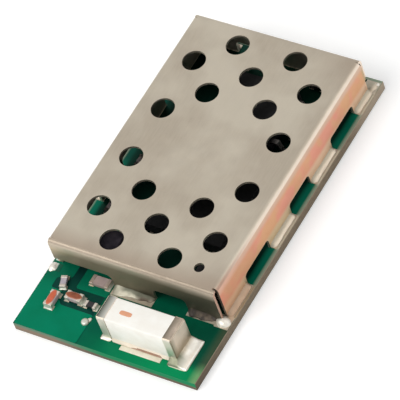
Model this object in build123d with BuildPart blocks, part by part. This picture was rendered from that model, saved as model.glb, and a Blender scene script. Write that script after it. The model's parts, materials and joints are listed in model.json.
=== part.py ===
from build123d import *
import os

os.makedirs("parts", exist_ok=True)

# Short-range radio module: a green circuit board that carries a perforated, folded
# shield can over its chips, and a ceramic block antenna with its matching parts on
# the bare end of the board. X runs across the board, Y along it, Z up. The origin is
# the middle of the underside, on the faces of the solder lands. Millimetres.

# Shield can: outer sizes, sheet and bends
can_width = 14.43
can_length = 22.58
can_height = 3.265
sheet = 0.2
bend_inner = 0.17
bend_outer = bend_inner + sheet
slit = 0.34
back_slit = 0.06
bend_relief = 0.02
end_wall_inset = 0.12

# Ventilation holes: a staggered pattern that leaves the middle of the can plain
hole_diameter = 1.86
hole_pitch_x = 2.5
hole_pitch_y = 2.377
hole_columns = 5
hole_rows = 9
plain_columns = 3
plain_rows = 3
vent_diameter = 0.8

# Windows in the walls: middle along the wall, and length
window_height = 1.02
window_corner = 0.3
right_windows = [(-6.0, 3.42), (0.42, 2.95), (6.97, 3.42)]
left_windows = [(-6.35, 3.0), (-0.05, 3.0), (6.25, 3.0)]
end_window_height = 1.26
end_window_corner = 0.45
middle_foot = (-2.15, 1.4)
corner_foot = 4.2

# Circuit board round the can
side_margin = 0.61
back_margin = 0.81
antenna_zone = 5.46
board_thickness = 0.8
land_thickness = 0.035

board_width = can_width + 2 * side_margin
board_length = can_length + back_margin + antenna_zone
board_front = -board_length / 2
board_right = board_width / 2
board_top = land_thickness + board_thickness
land_top = board_top + land_thickness
can_y = (antenna_zone - back_margin) / 2
can_front = can_y - can_length / 2
can_top = land_top + can_height

# Underside lands: a row down each long edge, and two ground lands at the front
edge_land_count = 16
edge_land_pitch = 1.27
edge_land_length = 1.5
edge_land_width = 0.8
edge_land_inset = 0.3
ground_land = 2.0
ground_land_inset = 0.7

# Antenna block: length and distance from the right edge are shares of the board's width
antenna_share = 0.409
antenna_side_share = 0.1297
antenna_width = 2.15
antenna_height = 2.55
antenna_cap = 0.72
antenna_plating = 0.05
antenna_edge = 0.16
antenna_end_chamfer = 0.08
antenna_setback = 1.22
antenna_length = antenna_share * board_width
antenna_left = board_right - antenna_side_share * board_width - antenna_length
antenna_x = antenna_left + antenna_length / 2
antenna_y = board_front + antenna_setback + antenna_width / 2

# Antenna solder: spread past the cap on each side, and climb up the cap
land_past_left_share = 0.035
land_past_left_end = land_past_left_share * antenna_length
land_past_right_end = 0.95
land_past_front_left = 0.2
land_past_front_right = 0.55
land_past_back = 0.12
antenna_solder_height = 0.95
mound_steps = [(0.0, 1.0), (0.13, 0.6), (0.4, 0.3), (1.0, 0.06)]
mound_corner = 0.25
guard_strip_share = 0.484
guard_strip_width = 0.26
guard_strip_gap = 0.26
antenna_lands = [(1, land_past_right_end, land_past_front_right),
                 (-1, land_past_left_end, land_past_front_left)]

# Chip parts: length, width, height, length of each terminal
chip_0603 = (1.6, 0.8, 0.5, 0.3)
chip_matching = (1.35, 0.7, 0.5, 0.3)
chip_feed = (1.6, 0.8, 0.36, 0.3)
chip_0402 = (1.0, 0.5, 0.32, 0.24)
chip_plating = 0.03
chip_edge = 0.035
land_spread_end = 0.12
land_spread_side = 0.05
fillet_share = 0.75
solder_sag = 0.25

# Chip parts of the antenna zone: from their left margin, from the front edge, turn
left_margin_share = 0.0978
capacitor_seats = [(0.38, 2.7, 90), (1.94, 3.4, 0)]
resistor_seats = [(3.41, 3.26, 0)]
tuning_gap = 0.28
tuning_run = (chip_matching[0] + chip_0402[0]) / 2 + 2 * land_spread_end + tuning_gap
tuning_skew = 20
tuning_seats = [(0.36, capacitor_seats[0][1] + tuning_run, 90 + tuning_skew)]
feed_gap = 0.12
feed_seat_reach = 0.16
test_dot_seat = (3.67, 1.9)
test_dot_radius = 0.3
test_dot_height = 0.16
test_dot_round = 0.15

# Chips under the can: spans and seats are shares of its width and length, from its middle
radio_span = 0.485
radio_seat = (0.0485, -0.115)
radio_height = 0.9
radio_contact = (0.4, 0.25, 0.05)
radio_contact_count = 10
radio_pitch_share = 0.0857
radio_pad_share = 0.63
memory_span = (0.36, 0.235)
memory_height = 1.7
memory_seat = (0.028, 0.252)
memory_lead_pitch = 1.27
memory_lead_count = 4
memory_lead = (1.3, 0.6)
regulator_span = (0.111, 0.128)
regulator_height = 1.1
regulator_seat = (0.306, -0.376)
regulator_lead_pitch = 0.95
regulator_right_count = 3
regulator_left_count = 2
regulator_lead = (0.65, 0.3)
lead_thickness = 0.15
lead_width = 0.4
lead_slope = 0.12
chip_standoff = 0.1
crystal_size = (2.5, 3.2)
crystal_seat = (-0.306, -0.358)
crystal_base_height = 0.45
crystal_wall = 0.16
crystal_lid_height = 0.3
crystal_lid_chamfer = 0.08
crystal_corner = 0.3
crystal_land = 0.9
chip_filter = (2.0, 1.25, 0.9, 0.35)
filter_seats = [(-0.0485, -0.4136, 0)]
right_row_x = 0.389
right_row = [-0.23, -0.15, -0.07, 0.168, 0.257]
left_row_x = -0.424
left_row = [-0.23, -0.128, -0.031, 0.115]
back_row_y = 0.4424
back_row = [-0.34, -0.215, 0.083, 0.236]
coil_seats = [(0.3475, 0.0576, 90)]

# Solder along the feet of the can
foot_solder_width = 0.42
middle_solder_width = 0.7
foot_solder_height = 0.4
foot_solder_end = 0.12
foot_land_margin = 0.04
corner_solder = [(1, -1, 0.58), (-1, -1, 0.34), (1, 1, 0.58), (-1, 1, 0.58)]
corner_solder_height = 0.7
corner_solder_tip = 0.12


def wall_section(outward, distance, along=0.0, level=0.0):
    """Plane across a wall: local x points outward, local y up."""
    out = Vector(*outward)
    run = Vector(abs(out.Y), abs(out.X), 0)
    origin = out * distance + run * along + Vector(0, can_y, level)
    return Plane(origin=origin, x_dir=out, z_dir=out.cross(Vector(0, 0, 1)))


def wall_face(outward, distance, level=0.0):
    """Plane in a wall's outer face: local x runs along the wall, local y up."""
    out = Vector(*outward)
    run = Vector(abs(out.Y), abs(out.X), 0)
    origin = out * distance + Vector(0, can_y, level)
    return Plane(origin=origin, x_dir=run, z_dir=run.cross(Vector(0, 0, 1)))


def places(seats, level):
    """Locations at one level for seats given as x, y and turn."""
    return [Location((x, y, level), (0, 0, turn)) for x, y, turn in seats]


def beside_antenna(seats):
    """Seats measured from the left margin and from the front edge of the board."""
    return [(margin_x + x, board_front + y, turn) for x, y, turn in seats]


def under_can(seats):
    """Seats given as shares of the can's width and length from its middle."""
    return [(x * can_width, can_y + y * can_length, turn) for x, y, turn in seats]


def body_box(size, mode=Mode.ADD):
    """Ceramic body of a chip part, inside the plating of its terminals."""
    length, width, height, band = size
    Box(length - 2 * chip_plating, width - 2 * chip_plating, height - 2 * chip_plating,
        align=(Align.CENTER, Align.CENTER, Align.MIN), mode=mode)


def chip_bodies(seats, size):
    """Ceramic bodies that run through both terminals of each chip part."""
    with BuildPart() as bodies:
        with Locations(*places(seats, land_top + chip_plating)):
            body_box(size)
    return bodies.part


def chip_terminals(seats, size, edge=0.0):
    """Plated ends that wrap round the body of each chip part, with broken top edges."""
    length, width, height, band = size
    end = (length - band) / 2
    with BuildPart() as terminals:
        with Locations(*places(seats, land_top)):
            with Locations((-end, 0, 0), (end, 0, 0)):
                Box(band, width, height, align=(Align.CENTER, Align.CENTER, Align.MIN))
        if edge:
            chamfer(terminals.faces().group_by(Axis.Z)[-1].edges(), edge)
        with Locations(*places(seats, land_top + chip_plating)):
            body_box(size, Mode.SUBTRACT)
    return terminals.part


def land_rectangles(seats, size):
    """Two lands for each chip part, drawn in the open sketch."""
    length, width, height, band = size
    middle = (length - band + land_spread_end) / 2
    with Locations(*places(seats, 0)):
        with Locations((-middle, 0), (middle, 0)):
            Rectangle(band + land_spread_end, width + 2 * land_spread_side)


def solder_profile(reach, rise):
    """Concave outline of a solder fillet: its foot along x, its climb along y."""
    with BuildLine() as outline:
        Polyline((0, rise), (0, 0), (reach, 0), (reach * solder_sag, rise * solder_sag), close=True)
    return outline.line


def chip_fillets(seats, size):
    """Concave solder fillets from each end of a chip part down to its land."""
    length, width, height, band = size
    with BuildPart() as one_fillet:
        with BuildSketch(Plane.XZ):
            with BuildLine():
                add(solder_profile(land_spread_end, height * fillet_share))
            make_face()
        extrude(amount=width / 2, both=True)
    ends = [Location((length / 2, 0, 0)), Location((-length / 2, 0, 0), (0, 0, 180))]
    with BuildPart() as fillets:
        with Locations(*[seat * end for seat in places(seats, land_top) for end in ends]):
            add(one_fillet.part)
    return fillets.part


def gull_lead(size, rise):
    """One gull-wing lead, from the body's side at the origin out along X."""
    reach, foot = size
    knee = reach - foot
    low = lead_thickness / 2
    with BuildPart() as lead:
        with BuildSketch(Plane.XZ):
            with BuildLine():
                Polyline((0, rise), (knee - lead_slope, rise), (knee + lead_slope, low), (reach, low))
            trace(line_width=lead_thickness)
        extrude(amount=lead_width / 2, both=True)
    return lead.part


def lead_row(count, pitch, across, x, y):
    """Locations of a row of leads on the side of a chip that faces +X or -X."""
    first = -(count - 1) / 2 * pitch
    turn = 0 if across > 0 else 180
    return [Location((x + across, y + first + i * pitch, land_top), (0, 0, turn))
            for i in range(count)]


def foot_land(outward, distance, middle, length, width):
    """Land under one foot of the can and its solder, drawn in the open sketch."""
    across, along = outward
    out = distance + (width - sheet) / 2
    reach = width + sheet + 2 * foot_land_margin
    with Locations((across * out + abs(along) * middle, can_y + along * out + abs(across) * middle)):
        Rectangle(reach if across else length, length if across else reach)


def feet_between(windows, start, stop):
    """Middle and length of each stretch of wall that reaches the board."""
    marks = [start]
    for middle, length in windows:
        marks += [middle - length / 2, middle + length / 2]
    marks.append(stop)
    return [((a + b) / 2, b - a) for a, b in zip(marks[::2], marks[1::2])]


# Circuit board
with BuildPart() as circuit_board:
    with BuildSketch(Plane.XY.offset(land_thickness)):
        Rectangle(board_width, board_length)
    extrude(amount=board_thickness)

# Lands on the underside, flat against the board
edge_land_x = board_right - edge_land_inset - edge_land_length / 2
ground_x = board_right - ground_land_inset - ground_land / 2
ground_y = board_front + ground_land_inset + ground_land / 2
with BuildPart() as underside_lands:
    with BuildSketch():
        with Locations((0, can_y)):
            with Locations((-edge_land_x, 0), (edge_land_x, 0)):
                with GridLocations(0, edge_land_pitch, 1, edge_land_count):
                    Rectangle(edge_land_length, edge_land_width)
        with Locations((-ground_x, ground_y), (ground_x, ground_y)):
            Rectangle(ground_land, ground_land)
    extrude(amount=land_thickness)

# Shield can: one sheet, its four walls folded down; the front corners are open slits,
# and at the back a flap of each side wall runs on below the bend, up to the end wall
side_start = sheet + slit - can_length / 2
side_bend_stop = can_length / 2 - bend_outer - bend_relief
side_stop = can_length / 2 - sheet - back_slit
side_middle = (side_start + side_bend_stop) / 2
side_half = (side_bend_stop - side_start) / 2
end_wall_half = can_width / 2 - end_wall_inset
walls = [((1, 0), can_width / 2, side_middle, side_half),
         ((-1, 0), can_width / 2, side_middle, side_half),
         ((0, -1), can_length / 2, 0, end_wall_half), ((0, 1), can_length / 2, 0, end_wall_half)]
last_column = (hole_columns - 1) / 2
last_row = (hole_rows - 1) / 2
hole_seats = []
for column in range(hole_columns):
    for row in range(hole_rows):
        across = column - last_column
        along = row - last_row
        plain = abs(across) < plain_columns / 2 and abs(along) < plain_rows / 2
        if (column + row) % 2 == 1 and not plain:
            hole_seats.append((across * hole_pitch_x, along * hole_pitch_y))
vent_seat = (last_column * hole_pitch_x, -last_row * hole_pitch_y)

with BuildPart() as shield_can:
    with BuildSketch(Plane.XY.offset(can_top - sheet)):
        with Locations((0, can_y)):
            Rectangle(can_width - 2 * bend_outer, can_length - 2 * bend_outer)
    extrude(amount=sheet)
    for outward, distance, middle, half_length in walls:
        with BuildSketch(wall_section(outward, distance, middle, can_top)):
            with BuildLine():
                CenterArc((-bend_outer, -bend_outer), bend_outer, 0, 90)
                Line((-bend_outer, 0), (-bend_outer, -sheet))
                CenterArc((-bend_outer, -bend_outer), bend_inner, 0, 90)
                Polyline((-sheet, -bend_outer), (-sheet, -can_height), (0, -can_height), (0, -bend_outer))
            make_face()
        extrude(amount=half_length, both=True)
    with BuildSketch(Plane.XY.offset(land_top)):
        with Locations((0, can_y + (side_middle + side_stop) / 2)):
            with Locations((-(can_width - sheet) / 2, 0), ((can_width - sheet) / 2, 0)):
                Rectangle(sheet, side_stop - side_middle)
    extrude(amount=can_height - bend_outer)
    with BuildSketch(Plane.XY.offset(can_top)):
        with Locations((0, can_y)):
            with Locations(*hole_seats):
                Circle(hole_diameter / 2)
            with Locations(vent_seat):
                Circle(vent_diameter / 2)
    extrude(amount=-sheet, mode=Mode.SUBTRACT)
    for outward, windows in (((1, 0), right_windows), ((-1, 0), left_windows)):
        with BuildSketch(wall_face(outward, can_width / 2, board_top)):
            for middle, length in windows:
                with Locations((middle, 0)):
                    RectangleRounded(length, 2 * window_height, window_corner)
        extrude(amount=sheet + bend_inner, both=True, mode=Mode.SUBTRACT)
    for outward, turn in (((0, -1), 1), ((0, 1), -1)):
        open_end = -can_width / 2 - end_window_corner
        gaps = [(open_end, middle_foot[0]), (middle_foot[1], corner_foot)]
        with BuildSketch(wall_face(outward, can_length / 2, board_top)):
            for start, stop in gaps:
                with Locations((turn * (start + stop) / 2, 0)):
                    RectangleRounded(stop - start, 2 * end_window_height, end_window_corner)
        extrude(amount=sheet + bend_inner, both=True, mode=Mode.SUBTRACT)

# Solder that holds the feet of the can, and fills the foot of each corner slit
end_feet = [((middle_foot[0] + middle_foot[1]) / 2, middle_foot[1] - middle_foot[0]),
            ((corner_foot + end_wall_half) / 2, end_wall_half - corner_foot)]
soldered = []
for outward, windows in (((1, 0), right_windows), ((-1, 0), left_windows)):
    for middle, length in feet_between(windows, side_start, side_stop):
        soldered.append((outward, can_width / 2, middle, length, foot_solder_width))
for outward, turn in (((0, -1), 1), ((0, 1), -1)):
    for (middle, length), width in zip(end_feet, (middle_solder_width, foot_solder_width)):
        soldered.append((outward, can_length / 2, turn * middle, length, width))

with BuildPart() as shield_solder:
    for outward, distance, middle, length, width in soldered:
        with BuildSketch(wall_section(outward, distance, middle, land_top)):
            with BuildLine():
                add(solder_profile(width, foot_solder_height))
            make_face()
        extrude(amount=length / 2 - foot_solder_end, both=True)
    for side, end, radius in corner_solder:
        with Locations((side * can_width / 2, can_y + end * can_length / 2, land_top)):
            Cone(radius, corner_solder_tip, corner_solder_height,
                 align=(Align.CENTER, Align.CENTER, Align.MIN))
    add(shield_can.part, mode=Mode.SUBTRACT)

# Antenna block, between its two plated ends
antenna_seat = Location((antenna_x, antenna_y, land_top))
block_length = antenna_length - 2 * antenna_plating
block_width = antenna_width - 2 * antenna_plating
block_height = antenna_height - 2 * antenna_plating
with BuildPart() as antenna_block:
    with Locations(antenna_seat * Location((0, 0, antenna_plating))):
        Box(block_length, block_width, block_height, align=(Align.CENTER, Align.CENTER, Align.MIN))
    fillet(antenna_block.edges().filter_by(Axis.X), antenna_edge - antenna_plating)

cap_middle = (antenna_length - antenna_cap) / 2
with BuildPart() as antenna_end_caps:
    with Locations(antenna_seat):
        with Locations((-cap_middle, 0, 0), (cap_middle, 0, 0)):
            Box(antenna_cap, antenna_width, antenna_height, align=(Align.CENTER, Align.CENTER, Align.MIN))
    fillet(antenna_end_caps.edges().filter_by(Axis.X), antenna_edge)
    chamfer(antenna_end_caps.faces().sort_by(Axis.X)[-1].edges(), antenna_end_chamfer)
    chamfer(antenna_end_caps.faces().sort_by(Axis.X)[0].edges(), antenna_end_chamfer)
    add(antenna_block.part, mode=Mode.SUBTRACT)

# Solder mounds that rise from the antenna's lands to its plated ends
with BuildPart() as antenna_solder:
    for side, past_end, past_front in antenna_lands:
        inner_end = antenna_x + side * (antenna_length / 2 - antenna_cap)
        outer_end = antenna_x + side * antenna_length / 2
        for height_share, spread in mound_steps:
            back = antenna_y + antenna_width / 2 + land_past_back * spread
            front = antenna_y - antenna_width / 2 - past_front * spread
            far = outer_end + side * past_end * spread
            with BuildSketch(Plane.XY.offset(land_top + antenna_solder_height * height_share)):
                with Locations(((inner_end + far) / 2, (front + back) / 2)):
                    RectangleRounded(abs(far - inner_end), back - front, mound_corner)
        loft(ruled=True)
    with Locations(antenna_seat):
        Box(antenna_length, antenna_width, antenna_height,
            align=(Align.CENTER, Align.CENTER, Align.MIN), mode=Mode.SUBTRACT)

# Chip parts of the antenna zone
margin_x = left_margin_share * board_width - board_right
capacitors = beside_antenna(capacitor_seats)
resistors = beside_antenna(resistor_seats)
tuning = beside_antenna(tuning_seats)
feed_x = middle_foot[0] - feed_gap - land_spread_end - chip_feed[0] / 2
feed = [(feed_x, can_front - feed_seat_reach, 0)]
test_dot = (margin_x + test_dot_seat[0], board_front + test_dot_seat[1])

# Chip parts under the can
filters = under_can(filter_seats)
supply_capacitors = under_can([(right_row_x, y, 90) for y in right_row])
supply_capacitors += under_can([(left_row_x, y, 90) for y in left_row])
pull_resistors = under_can([(x, back_row_y, 0) for x in back_row])
coils = under_can(coil_seats)

# Radio chip: a flat package with contacts round its edge and a pad in its middle
radio_size = radio_span * can_width
radio_x = radio_seat[0] * can_width
radio_y = can_y + radio_seat[1] * can_length
radio_pitch = radio_pitch_share * radio_size
radio_pad = radio_pad_share * radio_size
contact_length, contact_width, contact_height = radio_contact
contact_middle = (radio_size - contact_length) / 2
radio_level = land_top + contact_height
with BuildPart() as radio_chip:
    with Locations((radio_x, radio_y, radio_level)):
        Box(radio_size, radio_size, radio_height, align=(Align.CENTER, Align.CENTER, Align.MIN))
with BuildPart() as radio_chip_contacts:
    with Locations(*[Location((radio_x, radio_y, land_top), (0, 0, 90 * i)) for i in range(4)]):
        with Locations((contact_middle, 0, 0)):
            with GridLocations(0, radio_pitch, 1, radio_contact_count):
                Box(contact_length, contact_width, contact_height,
                    align=(Align.CENTER, Align.CENTER, Align.MIN))
    with Locations((radio_x, radio_y, land_top)):
        Box(radio_pad, radio_pad, contact_height, align=(Align.CENTER, Align.CENTER, Align.MIN))

# Memory chip and regulator, each hung between gull-wing leads
memory_x = memory_seat[0] * can_width
memory_y = can_y + memory_seat[1] * can_length
memory_half = memory_span[0] * can_width / 2
regulator_x = regulator_seat[0] * can_width
regulator_y = can_y + regulator_seat[1] * can_length
regulator_half = regulator_span[0] * can_width / 2
with BuildPart() as memory_chip:
    with Locations((memory_x, memory_y, land_top + chip_standoff)):
        Box(2 * memory_half, memory_span[1] * can_length, memory_height,
            align=(Align.CENTER, Align.CENTER, Align.MIN))
with BuildPart() as regulator:
    with Locations((regulator_x, regulator_y, land_top + chip_standoff)):
        Box(2 * regulator_half, regulator_span[1] * can_length, regulator_height,
            align=(Align.CENTER, Align.CENTER, Align.MIN))

memory_gull = gull_lead(memory_lead, chip_standoff + memory_height / 2)
regulator_gull = gull_lead(regulator_lead, chip_standoff + regulator_height / 2)
memory_rows = lead_row(memory_lead_count, memory_lead_pitch, memory_half, memory_x, memory_y)
memory_rows += lead_row(memory_lead_count, memory_lead_pitch, -memory_half, memory_x, memory_y)
regulator_rows = lead_row(regulator_right_count, regulator_lead_pitch, regulator_half,
                          regulator_x, regulator_y)
regulator_rows += lead_row(regulator_left_count, 2 * regulator_lead_pitch, -regulator_half,
                           regulator_x, regulator_y)
with BuildPart() as memory_chip_leads:
    with Locations(*memory_rows):
        add(memory_gull)
with BuildPart() as regulator_leads:
    with Locations(*regulator_rows):
        add(regulator_gull)

# Crystal: a ceramic base under a drawn metal lid
crystal_x = crystal_seat[0] * can_width
crystal_y = can_y + crystal_seat[1] * can_length
with BuildPart() as crystal_base:
    with BuildSketch(Plane.XY.offset(land_top)):
        with Locations((crystal_x, crystal_y)):
            Rectangle(*crystal_size)
    extrude(amount=crystal_base_height)
with BuildPart() as crystal_lid:
    with BuildSketch(Plane.XY.offset(land_top + crystal_base_height)):
        with Locations((crystal_x, crystal_y)):
            RectangleRounded(crystal_size[0] - 2 * crystal_wall, crystal_size[1] - 2 * crystal_wall,
                             crystal_corner)
    extrude(amount=crystal_lid_height)
    chamfer(crystal_lid.faces().sort_by(Axis.Z)[-1].edges(), crystal_lid_chamfer)

# Lands on the top face, under everything that is soldered down
crystal_land_x = (crystal_size[0] - crystal_land) / 2
crystal_land_y = (crystal_size[1] - crystal_land) / 2
strip_y = antenna_y - antenna_width / 2 - guard_strip_gap - guard_strip_width / 2
with BuildPart() as top_lands:
    with BuildSketch(Plane.XY.offset(board_top)):
        for foot in soldered:
            foot_land(*foot)
        for side, end, radius in corner_solder:
            with Locations((side * can_width / 2, can_y + end * can_length / 2)):
                Rectangle(2 * radius, 2 * radius)
        land_rectangles(capacitors, chip_matching)
        land_rectangles(feed, chip_feed)
        land_rectangles(coils, chip_0603)
        land_rectangles(resistors + tuning + supply_capacitors + pull_resistors, chip_0402)
        land_rectangles(filters, chip_filter)
        for side, past_end, past_front in antenna_lands:
            inner_end = antenna_x + side * (antenna_length / 2 - antenna_cap)
            far = antenna_x + side * (antenna_length / 2 + past_end)
            back = antenna_y + antenna_width / 2 + land_past_back
            front = antenna_y - antenna_width / 2 - past_front
            with Locations(((inner_end + far) / 2, (front + back) / 2)):
                RectangleRounded(abs(far - inner_end), back - front, mound_corner)
        with Locations((antenna_x, strip_y)):
            Rectangle(guard_strip_share * antenna_length, guard_strip_width)
        with Locations(test_dot):
            Circle(test_dot_radius)
        with Locations(*[Location((radio_x, radio_y), (0, 0, 90 * i)) for i in range(4)]):
            with Locations((contact_middle, 0)):
                with GridLocations(0, radio_pitch, 1, radio_contact_count):
                    Rectangle(contact_length + land_spread_end, contact_width)
        with Locations((radio_x, radio_y)):
            Rectangle(radio_pad, radio_pad)
        for rows, size in ((memory_rows, memory_lead), (regulator_rows, regulator_lead)):
            flat = [Location((p.position.X, p.position.Y), (0, 0, p.orientation.Z)) for p in rows]
            with Locations(*flat):
                with Locations((size[0] - size[1] / 2, 0)):
                    Rectangle(size[1] + land_spread_end, lead_width + land_spread_side)
        with Locations((crystal_x, crystal_y)):
            with GridLocations(2 * crystal_land_x, 2 * crystal_land_y, 2, 2):
                Rectangle(crystal_land, crystal_land)
    extrude(amount=land_thickness)

# Domed solder on the bare test land, beside the fillets of the antenna zone's parts
with BuildPart() as test_dome:
    Cylinder(test_dot_radius, test_dot_height, align=(Align.CENTER, Align.CENTER, Align.MIN))
    fillet(test_dome.faces().sort_by(Axis.Z)[-1].edges(), test_dot_round)
with BuildPart() as antenna_zone_solder:
    add(chip_fillets(capacitors, chip_matching))
    add(chip_fillets(feed, chip_feed))
    add(chip_fillets(resistors + tuning, chip_0402))
    with Locations((test_dot[0], test_dot[1], land_top)):
        add(test_dome.part)
with BuildPart() as inner_solder:
    add(chip_fillets(coils, chip_0603))
    add(chip_fillets(supply_capacitors + pull_resistors, chip_0402))
    add(chip_fillets(filters, chip_filter))

pieces = {
    "circuit_board": circuit_board.part,
    "underside_lands": underside_lands.part,
    "top_lands": top_lands.part,
    "shield_can": shield_can.part,
    "shield_solder": shield_solder.part,
    "antenna_block": antenna_block.part,
    "antenna_end_caps": antenna_end_caps.part,
    "antenna_solder": antenna_solder.part,
    "matching_capacitors": chip_bodies(capacitors, chip_matching),
    "matching_capacitor_ends": chip_terminals(capacitors, chip_matching, chip_edge),
    "tuning_resistor": chip_bodies(resistors, chip_0402),
    "tuning_resistor_ends": chip_terminals(resistors, chip_0402, chip_edge),
    "tuning_inductor": chip_bodies(tuning, chip_0402),
    "tuning_inductor_ends": chip_terminals(tuning, chip_0402, chip_edge),
    "feed_capacitor": chip_bodies(feed, chip_feed),
    "feed_capacitor_ends": chip_terminals(feed, chip_feed, chip_edge),
    "antenna_zone_solder": antenna_zone_solder.part,
    "radio_chip": radio_chip.part,
    "radio_chip_contacts": radio_chip_contacts.part,
    "memory_chip": memory_chip.part,
    "memory_chip_leads": memory_chip_leads.part,
    "regulator": regulator.part,
    "regulator_leads": regulator_leads.part,
    "crystal_base": crystal_base.part,
    "crystal_lid": crystal_lid.part,
    "band_filter": chip_bodies(filters, chip_filter),
    "band_filter_ends": chip_terminals(filters, chip_filter),
    "supply_capacitors": chip_bodies(supply_capacitors, chip_0402),
    "supply_capacitor_ends": chip_terminals(supply_capacitors, chip_0402),
    "pull_resistors": chip_bodies(pull_resistors, chip_0402),
    "pull_resistor_ends": chip_terminals(pull_resistors, chip_0402),
    "supply_coil": chip_bodies(coils, chip_0603),
    "supply_coil_ends": chip_terminals(coils, chip_0603),
    "inner_solder": inner_solder.part,
}
for name, piece in pieces.items():
    piece.label = name
    export_step(piece, f"parts/{name}.step")
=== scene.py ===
"""Short-range radio module, dressed for the camera.

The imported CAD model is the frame. Nodes whose shape is right keep it and get a
procedural material. Solder, the antenna block, the capacitors' glaze and the copper
under the solder mask are built here as meshes. Lengths are written in millimetres and
turned into metres by MM where they meet Blender.
"""
import json
import math

import bmesh
import bpy
from mathutils import Matrix, Vector, noise


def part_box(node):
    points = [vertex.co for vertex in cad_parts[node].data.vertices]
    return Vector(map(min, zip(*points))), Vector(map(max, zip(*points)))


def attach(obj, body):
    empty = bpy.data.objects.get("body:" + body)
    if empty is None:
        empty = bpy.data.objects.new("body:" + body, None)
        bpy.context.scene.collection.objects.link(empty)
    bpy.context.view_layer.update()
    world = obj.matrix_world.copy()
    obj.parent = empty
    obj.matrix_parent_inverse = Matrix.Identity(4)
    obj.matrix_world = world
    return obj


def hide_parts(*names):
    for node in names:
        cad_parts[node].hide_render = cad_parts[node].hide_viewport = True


MM = 0.001
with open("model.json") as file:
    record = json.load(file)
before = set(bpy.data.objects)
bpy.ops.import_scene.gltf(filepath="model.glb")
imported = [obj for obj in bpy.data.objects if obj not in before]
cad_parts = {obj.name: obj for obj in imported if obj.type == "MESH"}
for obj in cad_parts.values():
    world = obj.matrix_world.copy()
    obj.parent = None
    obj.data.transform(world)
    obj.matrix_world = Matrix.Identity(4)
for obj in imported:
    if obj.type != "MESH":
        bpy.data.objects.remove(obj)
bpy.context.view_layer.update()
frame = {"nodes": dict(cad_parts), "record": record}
nodes = frame["nodes"]

# Places read from the frame, in millimetres
board_low, board_high = (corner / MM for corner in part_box("circuit_board"))
can_low, can_high = (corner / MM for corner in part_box("shield_can"))
caps_low, caps_high = (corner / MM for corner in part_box("antenna_end_caps"))
capacitor_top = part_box("matching_capacitors")[1].z / MM
block_low, block_high = (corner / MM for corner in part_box("antenna_block"))
land_top = (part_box("top_lands")[1] / MM).z
board_top = board_high.z
can_middle_y = (can_low.y + can_high.y) / 2

# Feet of the can in millimetres: in y from the can's middle, and in x on the front wall
RIGHT_FEET = [(-10.75, -7.71), (-4.29, -1.055), (1.895, 5.26), (8.68, 11.03)]
LEFT_FEET = [(-10.75, -7.85), (-4.85, -1.55), (1.45, 4.75), (7.75, 11.03)]
MIDDLE_FOOT = (-2.15, 1.4)
CORNER_FOOT = (4.2, 7.095)

# Stretches in y, in millimetres, over which a tone changes
WARM_END = (-6.0, -3.0)
FRONT_OF_CAN = (-8.0, -8.3)


# Node trees

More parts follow.
